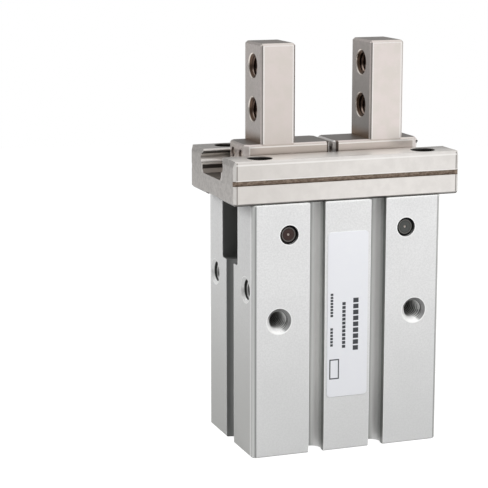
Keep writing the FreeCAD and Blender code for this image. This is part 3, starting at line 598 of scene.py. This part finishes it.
def cut_steel():
    """Thread ridges of the fingers: dark brown, with a painted highlight on the lower wall and painted shade at
    the roots.
    """
    mat, tree, shader = material("cut_steel")
    at, x, y, z = place(tree)
    spots = noise(tree, at, 6.0, 3.0, 0.6)
    dark = mix(tree, spots, rgb(84, 66, 56), rgb(116, 96, 84))
    # Painted highlight on the lower wall.
    colour = mix(tree, low_in_finger_hole(tree, z), dark, rgb(216, 194, 180))
    # Painted shade at the roots.
    colour = paint(tree, colour, at_root(tree, from_finger_hole(tree, y, z)), rgb(40, 30, 26), 0.7)
    surface(tree, shader, colour, 0.7, spots, 0.15, 0.28, 0.2)
    return mat


def label_film():
    """Smooth pale film with plain printed marks: dashed bars and an open box, no lettering."""
    mat, tree, shader = material("label_film")
    at, x, y, z = place(tree)
    front = ramp(tree, y, -13.86, -13.87)

    def bar(x0, x1, z0, z1):
        return times(tree, band(tree, x, x0, x1, 0.03), band(tree, z, z0, z1, 0.03))

    def dashed(x0, x1, z0, count, pitch):
        wave = calc(tree, "PINGPONG", minus(tree, z, z0), pitch / 2)
        return times(tree, bar(x0, x1, z0, z0 + count * pitch), ramp(tree, wave, pitch * 0.08, pitch * 0.14))

    marks = [dashed(1.25, 2.45, 21.2, 9, 1.27), dashed(-1.2, -0.45, 21.9, 12, 0.83),
             dashed(-3.85, -3.25, 28.7, 8, 0.64), dashed(-3.85, -3.25, 22.4, 6, 0.68)]
    box = minus(tree, bar(-4.0, -1.8, 15.4, 19.7), bar(-3.74, -2.06, 15.66, 19.44))
    cloud = noise(tree, at, 0.5, 2.0, 0.5)
    paper = mix(tree, cloud, rgb(232, 233, 236), rgb(229, 230, 235))
    colour = paint(tree, paper, times(tree, largest(tree, marks + [box]), front), rgb(52, 54, 58))
    surface(tree, shader, colour, 0.0, cloud, 0.1, 0.38, 0.1)
    return mat


RAIL_LIGHT, RAIL_DARK = rgb(231, 227, 223), rgb(214, 210, 206)
FINGER_LIGHT, FINGER_DARK = rgb(230, 219, 215), rgb(217, 212, 202)
LEVER_LIGHT, LEVER_DARK = rgb(150, 148, 146), rgb(128, 126, 124)
looks = {
    "body": anodised(),
    "guide_rail": ground_steel("rail_steel", RAIL_LIGHT, RAIL_DARK, 0.32, rail_details, 0.32),
    "finger_left": ground_steel("finger_steel", FINGER_LIGHT, FINGER_DARK, 0.3, finger_details, 0.14),
    "rail_screws": plain("screw_steel", rgb(70, 66, 62), 0.8, 0.35),
    "locating_pins": plain("pin_steel", rgb(160, 158, 156), 0.95, 0.25),
    "foot_pins_left": foot_pin(),
    "lever_shaft_left": shaft_dark(),
    "lever_left": ground_steel("lever_steel", LEVER_LIGHT, LEVER_DARK, 0.35, None, 0.2),
    "ball_row_left_front": plain("ball_steel", rgb(205, 205, 205), 1.0, 0.06, grain=0.0, contrast=0.95),
    "piston": turned("piston_metal", rgb(190, 190, 190), 0.9, 0.3),
    "end_cap": turned("cap_metal", rgb(178, 178, 178), 0.85, 0.32),
    "piston_seal": plain("seal_rubber", rgb(28, 28, 28), 0.0, 0.5),
    "magnet_ring": plain("magnet", rgb(58, 58, 60), 0.3, 0.6),
    "end_bumper": plain("bumper_rubber", rgb(120, 84, 48), 0.0, 0.5),
    "retaining_ring": plain("ring_steel", rgb(54, 52, 52), 0.8, 0.35, grain_scale=5.0, grain=0.3),
    "label": label_film(),
}
same = {
    "finger_right": "finger_left", "foot_pins_right": "foot_pins_left", "lever_shaft_right": "lever_shaft_left",
    "lever_right": "lever_left", "rod_joint": "lever_left", "ball_row_left_back": "ball_row_left_front",
    "ball_row_right_front": "ball_row_left_front", "ball_row_right_back": "ball_row_left_front",
    "cap_gasket": "piston_seal", "rod_seal": "piston_seal", "piston_bumper": "end_bumper",
    "seal_retainer": "locating_pins",
}
for name, obj in nodes.items():
    mat = looks[same.get(name, name)]
    if not obj.material_slots:
        obj.data.materials.append(mat)
    for slot in obj.material_slots:
        slot.material = mat


# Threads: a helical ridge that stands inward from the wall of each tapped hole

STEPS_PER_TURN = 40
FADE_STEPS = 14  # over which a ridge grows at either end
RIDGE_WALL = THREAD_CORE - 0.004
RIDGE_CREST = THREAD_CORE - 0.26
RIDGE = [(RIDGE_WALL, -0.31), (RIDGE_CREST, -0.06), (RIDGE_CREST, 0.06), (RIDGE_WALL, 0.31)]


def add_thread(bm, start, direction, length):
    """Right-hand ridge from start along direction, in millimetres."""
    axis = Vector(direction).normalized()
    side = axis.orthogonal().normalized()
    other = axis.cross(side)
    total = int(length / THREAD_PITCH * STEPS_PER_TURN)
    previous = None
    for i in range(total + 1):
        turn = 2 * math.pi * i / STEPS_PER_TURN
        along = length * i / total
        fade = min(1.0, i / FADE_STEPS, (total - i) / FADE_STEPS)
        out = side * math.cos(turn) + other * math.sin(turn)
        ring = []
        for radius, shift in RIDGE:
            r = RIDGE_WALL - (RIDGE_WALL - radius) * fade
            point = Vector(start) + out * r + axis * (along + shift * max(fade, 0.05))
            ring.append(bm.verts.new(point * MM))
        if previous is not None:
            for k in range(len(RIDGE) - 1):
                bm.faces.new((previous[k], previous[k + 1], ring[k + 1], ring[k]))
        previous = ring


def thread_piece(name, body, holes, mat):
    bm = bmesh.new()
    for start, direction, length in holes:
        add_thread(bm, start, direction, length)
    bmesh.ops.recalc_face_normals(bm, faces=bm.faces)
    mesh = bpy.data.meshes.new(name)
    bm.to_mesh(mesh)
    bm.free()
    for polygon in mesh.polygons:
        polygon.use_smooth = True
    mesh.set_sharp_from_angle(angle=math.radians(35))
    obj = bpy.data.objects.new(name, mesh)
    bpy.context.scene.collection.objects.link(obj)
    obj.data.materials.append(mat)
    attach(obj, body)
    return obj


def on_front(s, y, inward):
    return (s * FRONT_HOLE[0], y, FRONT_HOLE[1]), (0, inward, 0), 9.0


body_thread = cut_aluminium()
steel_thread = cut_steel()
front_holes = [on_front(s, -13.2, 1) for s in (-1, 1)] + [on_front(s, 13.2, -1) for s in (-1, 1)]
side_holes = [((-20.4, s * SIDE_HOLE[0], SIDE_HOLE[1]), (1, 0, 0), 6.6) for s in (-1, 1)]
side_holes += [((20.4, *port), (-1, 0, 0), 5.6) for port in AIR_PORTS]
base_holes = [((s * BASE_HOLE_X, 0, 0.6), (0, 0, 1), 8.6) for s in (-1, 1)]
thread_piece("threads_front", "housing", front_holes, body_thread)
thread_piece("threads_side", "housing", side_holes, body_thread)
thread_piece("threads_base", "housing", base_holes, body_thread)
for word, s in (("left", -1), ("right", 1)):
    finger_holes = [((s * 8.95, 0, z), (s, 0, 0), 6.4) for z in FINGER_HOLES_Z]
    thread_piece(f"threads_finger_{word}", f"finger_{word}", finger_holes, steel_thread)


# Stage, light and camera

WHITE_LEVEL = 0.95  # the floor's glow, and the most that mirrors see of floor and world


def floor():
    """White to the camera, a little darker in mirrors towards the back, grey to the light."""
    bpy.ops.mesh.primitive_circle_add(vertices=96, radius=0.45, fill_type="NGON", location=(0, 0, -0.0001))
    obj = bpy.context.object
    obj.name = "floor"
    mat = bpy.data.materials.new("floor_white")
    mat.use_nodes = True
    tree = mat.node_tree
    tree.nodes.clear()
    out = tree.nodes.new("ShaderNodeOutputMaterial")
    diffuse = tree.nodes.new("ShaderNodeBsdfDiffuse")
    diffuse.inputs["Color"].default_value = (0.3, 0.3, 0.3, 1)
    glow = tree.nodes.new("ShaderNodeEmission")
    add = tree.nodes.new("ShaderNodeAddShader")
    path = tree.nodes.new("ShaderNodeLightPath")
    coords = tree.nodes.new("ShaderNodeTexCoord")
    split = tree.nodes.new("ShaderNodeSeparateXYZ")
    tree.links.new(coords.outputs["Object"], split.inputs[0])
    mirrored = ramp(tree, split.outputs[1], -0.15, 0.15, 0.78, 0.62)
    seen = largest(tree, [path.outputs["Is Camera Ray"], path.outputs["Is Transmission Ray"],
                          times(tree, path.outputs["Is Glossy Ray"], mirrored)])
    tree.links.new(times(tree, seen, WHITE_LEVEL), glow.inputs["Strength"])
    tree.links.new(diffuse.outputs[0], add.inputs[0])
    tree.links.new(glow.outputs[0], add.inputs[1])
    tree.links.new(add.outputs[0], out.inputs["Surface"])
    obj.data.materials.append(mat)


def studio():
    """World: white to the camera; in mirrors bright at the front right and above, dim low behind; a weak fill."""
    world = bpy.data.worlds.new("studio")
    bpy.context.scene.world = world
    world.use_nodes = True
    tree = world.node_tree
    tree.nodes.clear()
    out = tree.nodes.new("ShaderNodeOutputWorld")
    background = tree.nodes.new("ShaderNodeBackground")
    background.inputs["Color"].default_value = (1.0, 1.0, 1.0, 1.0)
    coords = tree.nodes.new("ShaderNodeTexCoord")
    split = tree.nodes.new("ShaderNodeSeparateXYZ")
    tree.links.new(coords.outputs["Generated"], split.inputs[0])
    x, y, z = split.outputs
    path = tree.nodes.new("ShaderNodeLightPath")
    facing = minus(tree, times(tree, x, 0.8), times(tree, y, 0.6))
    dim = ramp(tree, z, 0.25, 0.8, 0.21, 0.9)
    front = plus(tree, dim, times(tree, ramp(tree, facing, -0.35, 0.65), minus(tree, 1.0, dim)))
    back_left = times(tree, ramp(tree, facing, -0.45, -0.7, 0.0, 0.6), ramp(tree, z, 0.5, 0.1))
    mirrored = times(tree, largest(tree, [front, back_left]), WHITE_LEVEL)
    fill = times(tree, front, ramp(tree, z, 0.15, 0.75, 1.0, 0.6), 0.35)
    seen = largest(tree, [path.outputs["Is Camera Ray"], path.outputs["Is Transmission Ray"],
                          times(tree, path.outputs["Is Glossy Ray"], mirrored)])
    tree.links.new(largest(tree, [fill, seen]), background.inputs["Strength"])
    tree.links.new(background.outputs[0], out.inputs["Surface"])


def area(name, size, energy, location, target=(0.0, 0.0, 0.045)):
    data = bpy.data.lights.new(name, "AREA")
    data.shape = "RECTANGLE"
    data.size = data.size_y = size
    data.energy = energy
    obj = bpy.data.objects.new(name, data)
    bpy.context.scene.collection.objects.link(obj)
    obj.location = location
    obj.rotation_euler = (Vector(target) - Vector(location)).to_track_quat("-Z", "Y").to_euler()
    obj.visible_glossy = False


floor()
studio()
area("key", 0.14, 1.42, (0.08, -0.18, 0.30))
area("rear_left", 0.12, 0.64, (-0.20, 0.16, 0.15))

# Camera as fitted to the photo: its angles, its distance, and its focal length in pixels of the image
AZIMUTH, ELEVATION = math.radians(-19.789), math.radians(11.274)
DISTANCE = 0.36359
TARGET = Vector((-0.017864, 0.0, 0.042581))
FOCAL_PIXELS, IMAGE_PIXELS, SENSOR_MM = 1730.68, 488, 36.0
cam_data = bpy.data.cameras.new("camera")
cam = bpy.data.objects.new("camera", cam_data)
bpy.context.scene.collection.objects.link(cam)
cam_data.sensor_width = SENSOR_MM
cam_data.lens = FOCAL_PIXELS / IMAGE_PIXELS * SENSOR_MM
cam_data.clip_start = 0.01
away = Vector((math.sin(AZIMUTH) * math.cos(ELEVATION), -math.cos(AZIMUTH) * math.cos(ELEVATION),
               math.sin(ELEVATION)))
cam.location = TARGET + away * DISTANCE
cam.rotation_euler = (-away).to_track_quat("-Z", "Y").to_euler()
bpy.context.scene.camera = cam
bpy.context.scene.view_settings.view_transform = "Standard"
